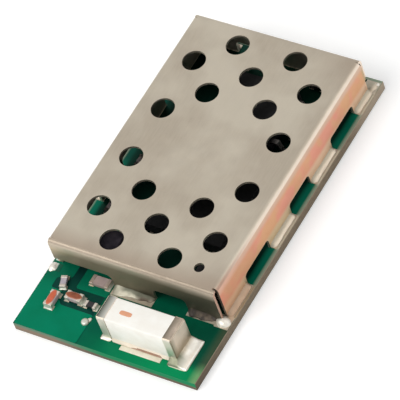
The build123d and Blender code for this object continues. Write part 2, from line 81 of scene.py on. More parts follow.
class Shader:
    """A material's node tree, with short calls for the nodes used here. Places are in millimetres."""

    def __init__(self, name):
        self.material = bpy.data.materials.new(name)
        self.material.use_nodes = True
        self.tree = self.material.node_tree
        self.surface = self.tree.nodes["Principled BSDF"]
        coords = self.tree.nodes.new("ShaderNodeTexCoord")
        scale = self.tree.nodes.new("ShaderNodeMapping")
        scale.inputs["Scale"].default_value = (1 / MM, 1 / MM, 1 / MM)
        self.link(coords.outputs["Object"], scale.inputs["Vector"])
        self.place = scale.outputs["Vector"]

    def link(self, output, socket):
        self.tree.links.new(output, socket)

    def feed(self, value, socket):
        if isinstance(value, bpy.types.NodeSocket):
            self.link(value, socket)
        else:
            socket.default_value = value

    def stretched(self, across, along, up=1.0):
        node = self.tree.nodes.new("ShaderNodeMapping")
        node.inputs["Scale"].default_value = (across, along, up)
        self.link(self.place, node.inputs["Vector"])
        return node.outputs["Vector"]

    def noise(self, scale, detail, roughness=0.55, place=None):
        node = self.tree.nodes.new("ShaderNodeTexNoise")
        self.link(place or self.place, node.inputs["Vector"])
        node.inputs["Scale"].default_value = scale
        node.inputs["Detail"].default_value = detail
        node.inputs["Roughness"].default_value = roughness
        return node.outputs["Fac"]

    def cells(self, scale):
        node = self.tree.nodes.new("ShaderNodeTexVoronoi")
        self.link(self.place, node.inputs["Vector"])
        node.inputs["Scale"].default_value = scale
        return node.outputs["Distance"]

    def ramp(self, value, low, high, first=0.0, last=1.0):
        """Goes from first to last as value goes from low to high."""
        node = self.tree.nodes.new("ShaderNodeMapRange")
        self.link(value, node.inputs["Value"])
        node.inputs["From Min"].default_value = low
        node.inputs["From Max"].default_value = high
        node.inputs["To Min"].default_value = first
        node.inputs["To Max"].default_value = last
        return node.outputs["Result"]

    def clouds(self, scale, detail, place=None):
        """Soft clouds between 0 and 1."""
        return self.ramp(self.noise(scale, detail, place=place), 0.35, 0.65)

    def math(self, operation, first, second=0.0):
        node = self.tree.nodes.new("ShaderNodeMath")
        node.operation = operation
        self.feed(first, node.inputs[0])
        self.feed(second, node.inputs[1])
        return node.outputs["Value"]

    def plus(self, first, second):
        return self.math("ADD", first, second)

    def times(self, first, second):
        return self.math("MULTIPLY", first, second)

    def larger(self, first, second):
        return self.math("MAXIMUM", first, second)

    def absolute(self, value):
        return self.math("ABSOLUTE", value)

    def within(self, value, low, high, soft):
        """1 between two values, 0 outside, with soft edges."""
        return self.times(self.ramp(value, low - soft, low + soft),
                          self.ramp(value, high - soft, high + soft, 1.0, 0.0))

    def mix(self, share, first, second):
        node = self.tree.nodes.new("ShaderNodeMix")
        node.data_type = "RGBA"
        self.feed(share, node.inputs["Factor"])
        self.feed(first, node.inputs[6])
        self.feed(second, node.inputs[7])
        return node.outputs[2]

    def axes(self, vector=None):
        node = self.tree.nodes.new("ShaderNodeSeparateXYZ")
        self.link(vector or self.place, node.inputs["Vector"])
        return node.outputs["X"], node.outputs["Y"], node.outputs["Z"]

    def normal(self):
        node = self.tree.nodes.new("ShaderNodeNewGeometry")
        return self.axes(node.outputs["Normal"])

    def bump(self, height, strength, distance):
        node = self.tree.nodes.new("ShaderNodeBump")
        node.inputs["Strength"].default_value = strength
        node.inputs["Distance"].default_value = distance * MM
        self.link(height, node.inputs["Height"])
        self.link(node.outputs["Normal"], self.surface.inputs["Normal"])

    def solder_patches(self):
        """Smooth patches of solder between frosted grains, which also raise the surface."""
        patches = self.noise(1.6, 4.0)
        self.bump(self.plus(self.cells(7.0), patches), 0.2, 0.03)
        return patches

    def plated_relief(self, cloud, strength=0.2):
        """Fine relief of a plated surface."""
        self.bump(self.plus(self.noise(10.0, 4.0), cloud), strength, 0.02)

    def set(self, **values):
        for name, value in values.items():
            self.feed(value, self.surface.inputs[name.replace("_", " ")])


def srgb(red, green, blue):
    """Linear colour from the 8-bit values that it shows as."""
    return (*[((v / 255 + 0.055) / 1.055) ** 2.4 if v > 10 else v / 255 / 12.92
              for v in (red, green, blue)], 1.0)


def beside_feet(s, y):
    """1 beside the feet of the can's right wall, 0 beside its windows."""
    total = None
    for start, stop in RIGHT_FEET:
        one = s.within(y, can_middle_y + start, can_middle_y + stop, 0.15)
        total = one if total is None else s.larger(total, one)
    return total


def sheet_metal():
    """Tinned nickel-silver sheet: rolling grain, blotches, a painted highlight on the right bend, a
    painted reflection on the right wall, and painted shade on the front bend and the front wall,
    which is also less metallic.
    """
    s = Shader("can_sheet")
    x, y, z = s.axes()
    side, front, _ = s.normal()
    blotch = s.noise(0.2, 3.0)
    grain = s.noise(1.0, 6.0, 0.7, s.stretched(9.0, 0.8, 9.0))

    # The lid
    base = s.mix(s.ramp(blotch, 0.38, 0.62), srgb(181, 170, 153), srgb(200, 191, 174))
    base = s.mix(s.ramp(grain, 0.3, 0.7, 0.0, 0.3), base, srgb(210, 199, 184))
    from_middle = s.absolute(s.math("SUBTRACT", y, can_middle_y))
    corners = s.times(s.ramp(x, 3.5, 6.5), s.ramp(from_middle, 7.5, 10.5, 0.0, 0.6))
    base = s.mix(corners, base, srgb(170, 154, 138))
    base = s.mix(s.ramp(y, can_low.y + 1.8, can_low.y + 0.4, 0.0, 0.75), base, srgb(174, 157, 140))

    # The right bend's painted highlight and the painted reflection on the right wall, a salmon band
    # between paler tones, each warmer toward the front
    back = s.ramp(y, -7.5, -2.5)
    outer = s.ramp(x, can_high.x - 0.4, can_high.x - 0.3)
    # Painted highlight along the right bend
    bend_highlight = s.times(s.ramp(side, 0.45, 0.78, 0.0, 0.9), outer)
    base = s.mix(bend_highlight, base, s.mix(back, srgb(188, 154, 136), srgb(247, 232, 216)))
    wall = s.times(s.ramp(side, 0.93, 0.99), s.ramp(x, can_high.x - 0.1, can_high.x - 0.05))
    height = s.plus(z, s.ramp(blotch, 0.0, 1.0, -0.15, 0.15))
    # Painted reflection on the right wall: a salmon band, tan by the back end, with paler tones below
    # and above it
    reflected_band = s.mix(s.ramp(s.noise(0.5, 2.0), 0.46, 0.6), srgb(220, 170, 130), srgb(226, 158, 136))
    reflected_band = s.mix(s.ramp(y, can_high.y - 0.55, can_high.y - 0.35), reflected_band, srgb(196, 170, 134))
    fore = s.mix(s.ramp(s.noise(0.5, 2.0), 0.4, 0.6), srgb(206, 154, 120), srgb(214, 142, 118))
    reflected_band = s.mix(back, fore, reflected_band)
    below = s.mix(s.ramp(y, 0.0, 5.0), srgb(216, 194, 160), srgb(228, 196, 168))
    below = s.mix(back, srgb(214, 176, 144), below)
    above = s.mix(back, srgb(214, 172, 150), srgb(214, 184, 162))
    wall_reflection = s.mix(s.ramp(height, 1.75, 2.15), below, reflected_band)
    wall_reflection = s.mix(s.ramp(height, 3.2, 3.65), wall_reflection, above)
    base = s.mix(wall, base, wall_reflection)

    # Painted shade on the front bend and the front wall, darker to the right and below; the shaded
    # front is also less metallic
    foremost = s.ramp(y, can_low.y + 0.4, can_low.y + 0.3)
    # Painted shade darkens the front bend
    front_bend_shade = s.times(s.ramp(front, -0.08, -0.3), foremost)
    base = s.mix(front_bend_shade, base, s.mix(s.ramp(x, -5.0, 4.0), srgb(154, 142, 128), srgb(136, 125, 112)))
    # Painted shade on the front wall, lighter toward the top left
    darkened = s.times(s.ramp(front, -0.75, -0.95), foremost)
    shade_slope = s.plus(s.times(x, 0.09), s.times(z, -0.25))
    front_shade = s.mix(s.ramp(shade_slope, -1.45, -1.22), srgb(190, 172, 142), srgb(138, 127, 107))
    front_shade = s.mix(s.ramp(shade_slope, -1.1, -0.6), front_shade, srgb(124, 116, 96))
    front_shade = s.mix(s.ramp(shade_slope, -0.6, -0.12), front_shade, srgb(80, 77, 64))
    front_shade = s.mix(s.ramp(z, 3.15, 3.75, 0.0, 0.9), front_shade, srgb(200, 186, 168))

    s.set(Base_Color=s.mix(darkened, base, front_shade), Metallic=s.ramp(darkened, 0.0, 1.0, 0.9, 0.55),
          Roughness=s.ramp(s.noise(1.2, 4.0), 0.3, 0.7, 0.42, 0.54))
    s.bump(s.plus(grain, s.noise(14.0, 3.0)), 0.12, 0.02)
    return s.material


def green_of_board(s):
    """Mask over bare laminate: dark by the small parts, clear by the antenna, with painted light in
    front of the antenna, a painted shadow beside its right end and painted shade under the can.
    """
    x, y, z = s.axes()
    cloud = s.clouds(0.35, 3.0)
    plain = s.mix(cloud, srgb(0, 90, 64), srgb(0, 78, 56))

    # In front of the can: painted light on the strip in front of the antenna, a painted shadow beside
    # its right end, and along the right edge a painted reflection of the lamps at the front, darker
    # further back
    # Painted light: the strip in front of the antenna is brighter
    strip = s.times(s.ramp(y, -12.9, -13.6), s.ramp(x, -2.5, 4.0))
    clear = s.mix(strip, plain, srgb(0, 128, 76))
    # Painted shadow beside the antenna's right end
    corner = s.times(s.ramp(x, 5.6, 6.8, 0.0, 0.8), s.ramp(y, -13.5, -12.7))
    clear = s.mix(corner, clear, srgb(4, 56, 40))
    # Painted reflection of the lamps at the front of the right edge, darker further back
    edge_reflection_and_dark = s.mix(s.ramp(y, -13.7, -12.6), srgb(114, 156, 104), srgb(58, 66, 48))
    clear = s.mix(s.ramp(x, board_high.x - 0.75, board_high.x - 0.2, 0.0, 0.9), clear, edge_reflection_and_dark)
    parts = s.mix(cloud, srgb(8, 50, 44), srgb(12, 42, 40))
    face = s.mix(s.ramp(x, -2.4, -2.25), parts, clear)

    # Painted shade under the can, nearly black, and the margins and edge along its sides
    under_can_shade = s.times(s.within(x, can_low.x + 0.15, can_high.x - 0.25, 0.12),
                     s.ramp(y, can_low.y - 0.1, can_low.y + 1.2))
    face = s.mix(under_can_shade, face, srgb(2, 15, 12))
    margin = s.times(s.ramp(y, can_low.y + 0.2, can_low.y + 0.6), s.ramp(s.absolute(x), 6.9, 7.25))
    margin = s.times(margin, s.larger(s.ramp(x, 0.0, 0.5), s.ramp(y, 0.8, 1.8, 1.0, 0.1)))
    face = s.mix(margin, face, srgb(0, 98, 76))
    rim = s.larger(s.ramp(s.absolute(x), board_high.x - 0.32, board_high.x - 0.12, 0.0, 0.85),
                   s.ramp(y, board_high.y - 0.26, board_high.y - 0.16))
    rim = s.times(rim, s.ramp(y, can_low.y + 0.1, can_low.y + 0.6))
    bare = s.mix(s.ramp(y, *WARM_END), srgb(186, 156, 128), srgb(222, 208, 188))
    face = s.mix(rim, face, s.mix(beside_feet(s, y), srgb(156, 164, 144), bare))

    underside = s.ramp(z, 0.3, 0.2)
    return s.mix(underside, face, plain)


def solder_mask(name, face_of, cut_edges=True):
    """Green lacquer over laminate, with fibre-brown cut edges that are paler at the upper rim."""
    s = Shader(name)
    _, _, up = s.normal()
    x, y, z = s.axes()
    weave = s.plus(s.noise(4.0, 2.0, place=s.stretched(1.0, 0.12)),
                   s.noise(4.0, 2.0, place=s.stretched(0.12, 1.0)))

    # Cut edges: painted shade darkens them by the front right corner; paler at the back, green lip at
    # the front
    layers = s.clouds(2.0, 5.0, s.stretched(1.0, 1.0, 14.0))
    fibre = s.mix(layers, srgb(150, 132, 114), srgb(122, 102, 86))
    # Painted shade: the front tone darkens toward the right
    front = s.mix(s.ramp(x, -4.5, -1.0), srgb(142, 120, 106), srgb(100, 80, 70))
    fibre = s.mix(s.ramp(y, -14.3, -9.0, 0.8, 0.0), fibre, front)
    fibre = s.mix(s.ramp(y, 9.0, 12.0, 0.0, 0.7), fibre, srgb(200, 180, 160))
    fibre = s.mix(s.ramp(z, board_top - 0.16, board_top - 0.04, 0.0, 0.6), fibre, srgb(176, 156, 134))
    height = s.plus(z, s.ramp(x, -5.0, 0.0, 0.0, 0.2))
    lip = s.times(s.ramp(y, board_low.y + 0.02, board_low.y + 0.01, 0.0, 0.95),
                  s.ramp(height, board_top - 0.36, board_top - 0.2))
    fibre = s.mix(lip, fibre, s.mix(s.ramp(x, -4.0, 0.0), srgb(104, 132, 112), srgb(26, 132, 86)))

    flat = s.ramp(s.absolute(up), 0.5, 0.8)
    face = face_of(s)
    s.set(Base_Color=s.mix(flat, fibre, face) if cut_edges else face, Specular_IOR_Level=0.35,
          Specular_Tint=(0.02, 1.0, 0.62, 1.0), Roughness=s.ramp(flat, 0.0, 1.0, 0.8, 0.4))
    s.bump(weave, 0.1, 0.02)
    return s.material


def green_over_copper(s):
    """Mask over a copper pour: paler and more even, with painted shade darkening it toward the can.
    """
    _, y, _ = s.axes()
    pour = s.mix(s.clouds(0.35, 3.0), srgb(0, 118, 86), srgb(0, 108, 76))
    # Painted shade toward the can
    return s.mix(s.ramp(y, -10.4, -9.6, 0.0, 0.65), pour, srgb(6, 84, 62))


def solder_metal(name, tone, shade, rough, metallic=0.6):
    """Solder: frosted grains between smooth patches, and a trace of flux."""
    s = Shader(name)
    patches = s.solder_patches()
    flux = s.ramp(s.noise(0.9, 2.0), 0.56, 0.7, 0.0, 0.25)
    base = s.mix(s.ramp(patches, 0.4, 0.65, 0.0, 0.8), tone, shade)
    s.set(Base_Color=s.mix(flux, base, srgb(200, 176, 146)), Metallic=metallic,
          Roughness=s.ramp(patches, 0.35, 0.65, rough, rough + 0.16))
    return s.material


def front_metal():
    """Solder at the front foot: darker by the wall, creamy rim, brown and beige right end."""
    s = Shader("front_solder")
    x, y, _ = s.axes()
    patches = s.solder_patches()
    base = s.mix(s.ramp(x, -2.15, -1.5), srgb(140, 144, 126), srgb(208, 203, 184))
    base = s.mix(s.ramp(x, -0.2, 0.3), base, srgb(98, 84, 70))
    base = s.mix(s.ramp(x, 0.85, 1.15), base, srgb(160, 146, 130))
    base = s.mix(s.ramp(patches, 0.4, 0.65, 0.0, 0.3), base, srgb(150, 140, 126))
    uneven = s.plus(y, s.ramp(patches, 0.3, 0.7, -0.06, 0.06))
    by_wall = s.times(s.ramp(uneven, can_low.y - 0.42, can_low.y - 0.16, 0.0, 0.9),
                      s.ramp(x, -1.7, -1.1, 0.2, 1.0))
    base = s.mix(by_wall, base, srgb(86, 88, 72))
    s.set(Base_Color=base, Metallic=0.4, Roughness=s.ramp(patches, 0.35, 0.65, 0.5, 0.62))
    return s.material


def land_solder():
    """Solder by the antenna: white on the open land, with a painted darker reflection, greenish at
    the front, where it climbs the block.
    """
    s = Shader("land_solder")
    x, y, _ = s.axes()
    patches = s.solder_patches()
    white = s.mix(s.ramp(patches, 0.4, 0.65, 0.0, 0.8), srgb(248, 244, 234), srgb(232, 226, 214))
    back = s.ramp(y, caps_low.y + 0.3, caps_low.y + 0.8)
    # Painted darker reflection where the solder climbs the block, greenish at the front
    darkened = s.mix(back, srgb(132, 134, 112), srgb(200, 188, 166))
    uneven = s.plus(x, s.ramp(patches, 0.3, 0.7, -0.08, 0.08))
    edge = s.mix(back, s.ramp(uneven, caps_high.x + 0.1, caps_high.x + 0.7),
                 s.ramp(uneven, caps_high.x + 0.05, caps_high.x + 0.3))
    left_end = s.ramp(x, 2.0, 1.0)
    s.set(Base_Color=s.mix(s.larger(edge, left_end), darkened, white), Metallic=0.45,
          Roughness=s.ramp(patches, 0.35, 0.65, 0.34, 0.5))
    return s.material


def foot_metal():
    """Solder along the can's feet: warmer toward the front, as the wall beside it is, bright along
    its rim.
    """
    s = Shader("foot_metal")
    x, y, _ = s.axes()
    patches = s.solder_patches()
    back = s.ramp(y, *WARM_END)
    inner = s.mix(back, srgb(178, 152, 128), srgb(180, 170, 150))
    outer = s.mix(back, srgb(188, 160, 134), srgb(228, 216, 196))
    outer = s.mix(s.ramp(y, 9.0, 11.5, 0.0, 0.6), outer, srgb(206, 190, 168))
    reach = s.plus(s.absolute(x), s.ramp(patches, 0.3, 0.7, -0.05, 0.05))
    base = s.mix(s.ramp(reach, can_high.x + 0.12, can_high.x + 0.28), inner, outer)
    s.set(Base_Color=base, Metallic=0.5, Roughness=s.ramp(patches, 0.35, 0.65, 0.34, 0.5))
    return s.material


def fired_ceramic(name, tone, dark, rough, coat=0.1):
    """Fired ceramic or moulded body: fine grain, cloudy tone and small pits."""
    s = Shader(name)
    s.set(Base_Color=s.mix(s.clouds(0.9, 4.0), tone, dark), Coat_Weight=coat,
          Roughness=s.ramp(s.noise(5.0, 3.0), 0.3, 0.7, rough, rough + 0.15))
    pits = s.ramp(s.cells(9.0), 0.0, 0.3)
    s.bump(s.plus(pits, s.noise(12.0, 4.0)), 0.12, 0.02)
    return s.material


def plated_metal(name, tone, dark, rough, metallic=0.85):
    """Plated or drawn metal with a matt, slightly uneven surface."""
    s = Shader(name)
    cloud = s.noise(1.4, 5.0)
    s.set(Base_Color=s.mix(s.ramp(cloud, 0.3, 0.7), tone, dark), Metallic=metallic,
          Roughness=s.ramp(cloud, 0.3, 0.7, rough, rough + 0.18))
    s.plated_relief(cloud)
    return s.material


def tinned_copper():
    """Thin tin on the lands: creamy front strip, milky left corner, mask over the left margin."""
    s = Shader("tinned_land")
    x, y, _ = s.axes()
    cloud = s.noise(1.4, 5.0)
    base = s.mix(s.ramp(cloud, 0.3, 0.7), srgb(206, 196, 178), srgb(184, 172, 154))
    base = s.mix(s.ramp(y, -13.2, -13.35, 0.0, 0.9), base, srgb(236, 234, 218))
    front = s.ramp(y, *FRONT_OF_CAN)
    base = s.mix(s.times(front, s.ramp(x, -6.7, -7.2, 0.0, 0.9)), base, srgb(206, 226, 214))
    base = s.mix(s.times(front, s.within(x, -7.24, -6.4, 0.06)), base, srgb(6, 88, 66))
    s.set(Base_Color=base, Metallic=0.6, Roughness=s.ramp(cloud, 0.3, 0.7, 0.34, 0.52))
    s.plated_relief(cloud)
    return s.material


def antenna_plating():
    """Fired silver on the antenna's ends: darker tops, where the right one's dark inner side is a
    painted reflection, a painted highlight high on the end faces, and painted dark reflections by
    their front edge and on the upright edges.
    """
    s = Shader("antenna_plating")
    x, y, z = s.axes()
    side, front, up = s.normal()
    cloud = s.clouds(1.1, 4.0)

    # Tops of the left and the right end: the left darker and greener toward its outer end, the right
    # with a painted dark reflection on its inner side
    right = s.ramp(x, 2.0, 3.0)
    left_top = s.mix(s.ramp(x, caps_low.x + 0.05, caps_low.x + 0.95), srgb(56, 66, 50),
                     srgb(238, 234, 226))
    right_top = s.mix(s.ramp(x, caps_high.x - 0.66, caps_high.x - 0.16), srgb(122, 112, 98),
                      srgb(206, 188, 170))
    top = s.mix(cloud, s.mix(right, left_top, right_top), s.mix(right, left_top, srgb(140, 128, 112)))

    # End faces: a painted highlight above, a painted dark reflection by the front edge
    height = s.plus(z, s.ramp(cloud, 0.0, 1.0, 0.0, 0.3))
    end = s.mix(s.ramp(height, 1.8, 2.7), srgb(186, 168, 146), srgb(254, 236, 218))
    end = s.mix(s.ramp(z, 1.45, 1.15), end, srgb(218, 204, 182))
    end = s.mix(s.ramp(y, caps_low.y + 0.45, caps_low.y + 0.15, 0.0, 0.8), end, srgb(178, 166, 144))
    base = s.mix(s.ramp(up, 0.85, 0.97), end, top)

    # Upper edge, front faces and a painted dark reflection on the upright edge between front and end
    edge = s.times(s.within(up, 0.3, 0.9, 0.1), s.ramp(side, 0.2, 0.5))
    base = s.mix(edge, base, srgb(196, 180, 160))
    base = s.mix(s.ramp(front, -0.6, -0.9, 0.0, 0.85), base, srgb(232, 226, 214))
    dark_upright_edge = s.times(s.within(front, -0.85, -0.3, 0.1), s.ramp(side, 0.3, 0.5))
    base = s.mix(dark_upright_edge, base, srgb(150, 138, 118))

    s.set(Base_Color=base, Metallic=s.ramp(up, 0.5, 0.9, 0.8, 0.5),
          Roughness=s.ramp(cloud, 0.0, 1.0, 0.34, 0.5))
    s.plated_relief(cloud, 0.15)
    return s.material


def capacitor_glaze():
    """Brown glaze, redder on the capacitor by the left edge, paler along its rim."""
    s = Shader("capacitor_glaze")
    x, _, z = s.axes()
    cloud = s.clouds(2.5, 4.0)
    red = s.mix(cloud, srgb(206, 92, 66), srgb(186, 92, 48))
    brown = s.mix(cloud, srgb(150, 76, 44), srgb(122, 62, 34))
    base = s.mix(s.ramp(x, -5.6, -5.0), red, brown)
    rim = s.ramp(z, capacitor_top + 0.045, capacitor_top + 0.062, 0.7, 0.0)
    s.set(Base_Color=s.mix(rim, base, srgb(206, 138, 104)), Coat_Weight=0.1,
          Roughness=s.ramp(cloud, 0.0, 1.0, 0.4, 0.52))
    s.bump(s.noise(12.0, 4.0), 0.12, 0.02)
    return s.material


# Plain materials: name, light tone, dark tone and roughness, then the metallic share of a metal
# or the coat of a ceramic where it isn't the usual one
SOLDERS = [
    ("solder", srgb(224, 217, 202), srgb(206, 198, 184), 0.3),
    ("bright_solder", srgb(248, 244, 234), srgb(228, 222, 210), 0.3, 0.45),
    ("dull_solder", srgb(90, 82, 76), srgb(48, 44, 40), 0.48, 0.4),
    ("chip_solder", srgb(226, 232, 220), srgb(196, 192, 180), 0.34, 0.5),
]
PLATINGS = [
    ("gold_land", srgb(226, 186, 104), srgb(206, 160, 80), 0.3),
    ("chip_ends", srgb(226, 218, 206), srgb(196, 186, 176), 0.34, 0.5),
    ("warm_ends", srgb(192, 176, 160), srgb(166, 150, 140), 0.36, 0.5),
    ("lead_metal", srgb(120, 116, 112), srgb(92, 88, 86), 0.35),
    ("lid_metal", srgb(70, 64, 72), srgb(52, 48, 58), 0.3),
]
CERAMICS = [
    ("antenna_ceramic", srgb(250, 248, 242), srgb(244, 240, 232), 0.42, 0.1),
    ("fired_mark", srgb(232, 168, 130), srgb(214, 150, 118), 0.5, 0.0),
    ("flux", srgb(166, 126, 100), srgb(136, 100, 76), 0.4, 0.3),
    ("underfill", srgb(240, 229, 212), srgb(232, 218, 198), 0.5, 0.1),
    ("cream_film", srgb(232, 226, 206), srgb(214, 206, 184), 0.45, 0.2),
    ("capacitor_ceramic", srgb(202, 184, 182), srgb(176, 160, 164), 0.45),
    ("resistor_glaze", srgb(34, 32, 34), srgb(20, 20, 24), 0.3, 0.2),
    ("inductor_ceramic", srgb(186, 178, 186), srgb(160, 154, 164), 0.5),
    ("filter_ceramic", srgb(176, 156, 150), srgb(150, 132, 128), 0.5),
    ("chip_mould", srgb(30, 30, 32), srgb(20, 20, 23), 0.6, 0.0),
]

materials = {
    "can_sheet": sheet_metal(),
    "board": solder_mask("board", green_of_board),
    "mask_over_copper": solder_mask("mask_over_copper", green_over_copper, cut_edges=False),
    "foot_metal": foot_metal(),
    "land_solder": land_solder(),
    "front_solder": front_metal(),
    "tinned_land": tinned_copper(),
    "end_plating": antenna_plating(),
    "capacitor_glaze": capacitor_glaze(),
}
for make, rows in ((solder_metal, SOLDERS), (plated_metal, PLATINGS), (fired_ceramic, CERAMICS)):
    materials.update({row[0]: make(*row) for row in rows})

# The record's slot of each material: its own name, or the slot that it varies
record_slots = {slot: slot for slot in materials}
for varied, slots in {
    "board": ["mask_over_copper"],
    "solder": ["bright_solder", "dull_solder", "front_solder", "foot_metal", "land_solder",
               "chip_solder", "flux", "cream_film"],
    "end_plating": ["chip_ends", "warm_ends"],
    "antenna_ceramic": ["fired_mark", "underfill"],
    "capacitor_ceramic": ["capacitor_glaze"],
}.items():
    record_slots.update({slot: varied for slot in slots})

# CAD nodes that don't look like the others in their slot
own_material = {
    "matching_capacitor_ends": "chip_ends", "tuning_resistor_ends": "chip_ends",
    "tuning_inductor_ends": "chip_ends", "feed_capacitor_ends": "warm_ends",
    "band_filter_ends": "lead_metal", "supply_capacitor_ends": "lead_metal",
    "pull_resistor_ends": "lead_metal", "supply_coil_ends": "lead_metal",
    "inner_solder": "dull_solder",
}


def dress_nodes():
    """Every CAD node gets the material of its slot in the record, or one of its own."""
    for part in frame["record"]["subparts"]:
        node = part["node"]
        data = nodes[node].data
        data.materials.clear()
        data.materials.append(materials[own_material.get(node, part["material_slot"])])


# Mesh pieces, in millimetres

# Width and height of each fillet
SIDE_FILLET = (0.43, 0.3)
BACK_FILLET = (0.55, 0.34)
FRONT_FILLET = (0.64, 0.32)
CORNER_FILLET = (0.42, 0.36)
ANTENNA_FILLET = (0.2, 0.3)
UNDERFILL = (0.2, 0.36)
FLUX = (0.13, 0.14)

ROOT = 0.02  # how far a fillet reaches into the wall behind it
SOLDER_SUNK = 0.01  # how far it starts below the surface that it lies on
BEAD_STEPS = 8  # faces across a fillet
BEAD_END = 0.35  # share of a fillet's size that is left at its ends
BEAD_SPREAD, BEAD_BULGE = 1.35, 0.1  # its rows lie closer by the wall, its middle is fuller
WIDTH_LUMPS, HEIGHT_LUMPS = 0.7, 0.9  # sizes of its uneven stretches
TURN_SPACING, TURN_STEPS, TURN_BULGE = 0.1, 6, 0.4  # of a fillet round a block
CORNER_FOOT_END = 0.5  # how far the solder stops before the end of a corner foot

# Heaps of solder at the can's corners: middle, half sizes, seed
BRIGHT_HEAPS = [
    ((can_high.x - 0.04, can_low.y - 0.06), (0.58, 0.48, 0.4), 3),
    ((can_low.x - 0.34, can_low.y - 0.06), (0.36, 0.42, 0.16), 8),
    ((can_high.x + 0.4, can_high.y + 0.38), (0.14, 0.16, 0.1), 19),
]
PLAIN_HEAPS = [
    ((can_high.x, can_high.y + 0.02), (0.5, 0.5, 0.16), 13),
    ((can_low.x, can_high.y + 0.02), (0.5, 0.5, 0.16), 17),
]
HEAP_SUNK = 0.03  # how far a heap starts below the land's top
HEAP_MARGIN = 0.03  # from a heap to the edge of the board
HEAP_ROUGH, HEAP_LUMPS, HEAP_SLOPE = 0.2, 0.8, 1.3

PLATED_END = 0.72  # length of each plated end of the antenna
LAND_FRONT, LAND_RIGHT, LAND_BACK = 0.5, 0.93, 0.1  # the right end's land beyond the block
ANTENNA_ROUNDING, CAPACITOR_ROUNDING, CHIP_ROUNDING = 0.12, 0.05, 0.03
WETTED_SPACING = 0.05
WETTED_RIM = 0.14  # width of the rounded rim of solder on a land
WETTED_SAG, WETTED_ROUGH, WETTED_LUMPS = 1.7, 0.18, 0.5
UNDER_BLOCK, UNDER_HEIGHT = 0.12, 0.02  # this far inside a block the solder is only a film
FLAT_ANGLE, SHARP_ANGLE = 0.02, 0.3  # radians: faces to join, edges to draw round

# Low domes: the mark on the antenna and the tail of the test dot
MARK_MIDDLE, MARK_HALF, MARK_RISE = (1.44, -12.18), (0.52, 0.2), 0.016
TAIL_MIDDLE, TAIL_HALF, TAIL_RISE, TAIL_TURN = (-2.5, -12.4), (0.38, 0.17), 0.1, 1.14
GLAZE_SKIRT, GLAZE_RISE, GLAZE_OVER = 0.04, 0.04, 0.03
DOME_RINGS, DOME_STEPS = 5, 36
MARK_SUNK = 0.004  # how far a mark or film starts below the surface that it lies on

# Along the front foot of the antenna
UNDERFILL_INSET = 0.66  # from the antenna's ends
FLUX_LINE, FLUX_AHEAD = (1.5, 4.7), 0.12
FILM_FRONT, FILM_BACK = 0.55, 0.14
FILM_SHARE = 0.242  # half of the strip's share of the antenna's length
FILM_OVERLAP, FILM_RIGHT = 0.03, 0.32  # beyond the strip on both sides, and more on the right
FILM_LAYER = 0.03

# Outlines of the two copper fields under the mask, left of the antenna
POURS = [
    [(-7.805, -14.405), (-2.35, -14.405), (-2.35, -11.8), (-5.25, -11.8), (-5.75, -11.2),
     (-5.75, -10.65), (-6.75, -10.65), (-6.75, -9.7), (-5.6, -9.4), (-5.6, -7.7), (-7.805, -7.7)],
    [(-4.9, -10.1), (-2.2, -10.1), (-2.2, -7.7), (-4.9, -7.7)],
]
POUR_CORNER, POUR_RISE, POUR_EDGE = 0.18, 0.025, 0.015
POUR_SUNK = 0.005  # how far the copper and the glaze start below their surface


def finish_piece(name, bm, slot, replaced=(), smooth=True):
    """Turns a bmesh in millimetres into a piece that rides on the body."""
    bmesh.ops.recalc_face_normals(bm, faces=bm.faces)
    bmesh.ops.scale(bm, vec=(MM, MM, MM), verts=bm.verts)
    mesh = bpy.data.meshes.new(name)
    bm.to_mesh(mesh)
    bm.free()
    for polygon in mesh.polygons:
        polygon.use_smooth = smooth
    obj = bpy.data.objects.new(name, mesh)
    bpy.context.scene.collection.objects.link(obj)
    mesh.materials.append(materials[slot])
    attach(obj, "root")
    if replaced:
        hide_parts(*replaced)


def smooth_step(value):
    value = min(max(value, 0.0), 1.0)
    return value * value * (3 - 2 * value)


def lump(point, size, seed):
    """Soft unevenness between -1 and 1 at a point, with bumps of a given size."""
    return noise.noise(Vector(point) / size + Vector((seed, seed * 1.7, seed * 0.6)))


def bead(bm, path, level, width, height, seed, taper=0.35, rough=0.3, sag=1.7):
    """A concave fillet of solder along a foot: path holds (point, outward normal, share of size)."""
    rings = []
    run = 0.0
    total = sum((path[i + 1][0] - path[i][0]).length for i in range(len(path) - 1))
    for i, (point, out, share) in enumerate(path):
        if i:
            run += (point - path[i - 1][0]).length
        ends = smooth_step(run / taper) * smooth_step((total - run) / taper)
        size = (BEAD_END + (1 - BEAD_END) * ends) * share
        wide = width * size * (1 + rough * lump((*point, level), WIDTH_LUMPS, seed))
        tall = height * size * (1 + rough * lump((*point, level), HEIGHT_LUMPS, seed + 5))
        ring = [bm.verts.new((point.x - ROOT * out.x, point.y - ROOT * out.y, level))]
        for step in range(BEAD_STEPS + 1):
            t = step / BEAD_STEPS
            reach = wide * t ** BEAD_SPREAD - ROOT * (1 - t)
            rise = tall * (1 - t) ** sag + BEAD_BULGE * tall * math.sin(math.pi * t)
            ring.append(bm.verts.new((point.x + reach * out.x, point.y + reach * out.y,
                                      level + rise)))
        rings.append(ring)
    for a, b in zip(rings, rings[1:]):
        count = len(a)
        for k in range(count):
            bm.faces.new((a[k], a[(k + 1) % count], b[(k + 1) % count], b[k]))
    bm.faces.new(rings[0])
    bm.faces.new(list(reversed(rings[-1])))


def straight_path(start, stop, out, spacing=0.12, shares=(1.0, 1.0)):
    """Points along one straight foot."""
    start, stop, out = Vector(start), Vector(stop), Vector(out)
    count = max(4, round((stop - start).length / spacing))
    return [(start.lerp(stop, i / count), out, shares[0] + (shares[1] - shares[0]) * i / count)
            for i in range(count + 1)]


